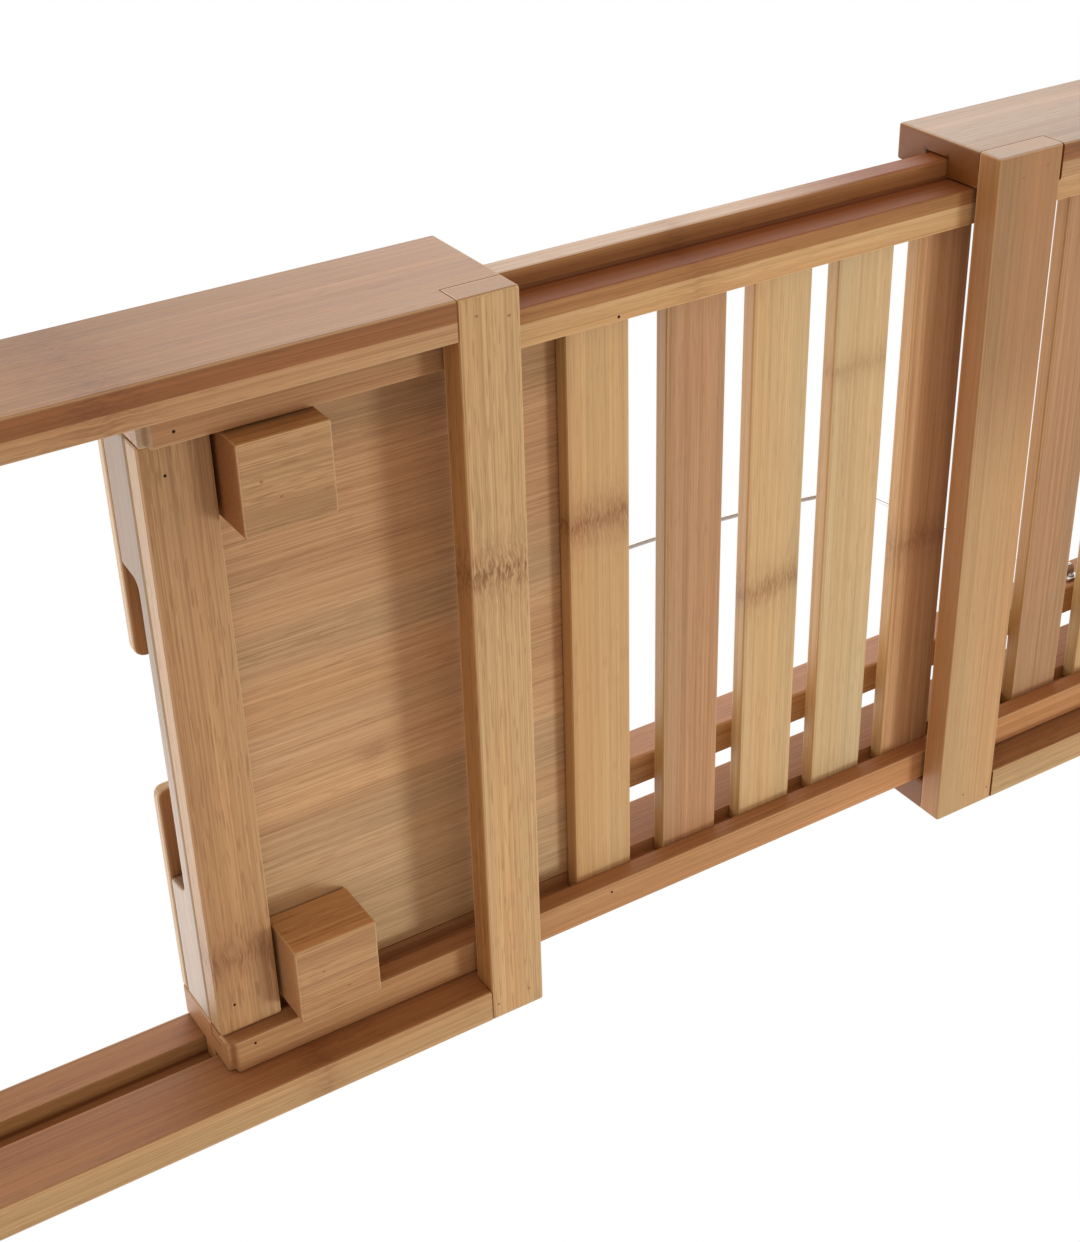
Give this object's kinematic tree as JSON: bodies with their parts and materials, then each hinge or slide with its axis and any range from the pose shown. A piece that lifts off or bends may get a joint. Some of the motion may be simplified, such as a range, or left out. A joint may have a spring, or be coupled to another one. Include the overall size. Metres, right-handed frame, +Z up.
{
  "type": "bath caddy",
  "caption": "Extending bamboo bath caddy: a slatted tray slides in end frames and has a notched wine glass board, a tablet slot and a folding wire book hoop.",
  "frame": {"origin": "middle of the footprint at the height of the surface that the frames stand on", "axes": "+X along the caddy from rim to rim with the glass board at -X, +Y away from the bather, +Z up"},
  "size_m": [0.9078, 0.23, 0.1588],
  "materials": {
    "frame_bamboo": "satin varnished bamboo",
    "tray_bamboo": "satin varnished bamboo",
    "slat_light": "satin varnished light bamboo",
    "slat_brown": "satin varnished brown bamboo",
    "panel_bamboo": "satin varnished thin bamboo board",
    "wire_chrome": "polished wire"
  },
  "bodies": {
    "tray": {"tray_rail_front": "tray_bamboo", "tray_rail_back": "tray_bamboo", "slat_1": "slat_light", "slat_2": "slat_brown", "slat_3": "slat_light", "slat_4": "slat_light", "slat_5": "slat_brown", "slat_6": "slat_light", "slat_7": "slat_brown", "slat_8": "slat_light", "panel_left": "panel_bamboo", "panel_right": "panel_bamboo", "end_bar_left": "tray_bamboo", "end_bar_right": "tray_bamboo", "end_board_left": "tray_bamboo", "end_board_right": "tray_bamboo", "glass_board": "panel_bamboo", "partition_left": "tray_bamboo", "partition_right": "tray_bamboo", "foot_block_left_front": "tray_bamboo", "foot_block_left_back": "tray_bamboo", "foot_block_right_front": "tray_bamboo", "foot_block_right_back": "tray_bamboo", "book_bar": "tray_bamboo", "hoop_clip_left": "wire_chrome", "hoop_clip_right": "wire_chrome"},
    "left_frame": {"left_frame_rail_front": "frame_bamboo", "left_frame_rail_back": "frame_bamboo", "left_frame_crossbar": "frame_bamboo", "left_frame_end_rail": "frame_bamboo"},
    "right_frame": {"right_frame_rail_front": "frame_bamboo", "right_frame_rail_back": "frame_bamboo", "right_frame_crossbar": "frame_bamboo", "right_frame_end_rail": "frame_bamboo"},
    "hoop": {"book_hoop": "wire_chrome"}
  },
  "joints": [
    {"name": "left_slide", "type": "slide", "parent": "tray", "child": "left_frame", "axis": [-1, 0, 0], "range_m": [-0.1392, 0.0335]},
    {"name": "right_slide", "type": "slide", "parent": "tray", "child": "right_frame", "axis": [1, 0, 0], "range_m": [-0.0179, 0.1484]},
    {"name": "hoop_hinge", "type": "hinge", "parent": "tray", "child": "hoop", "pos_m": [0.06465, 0.06251, 0.0365], "axis": [1, 0, 0], "range_deg": [0, 100]}
  ]
}
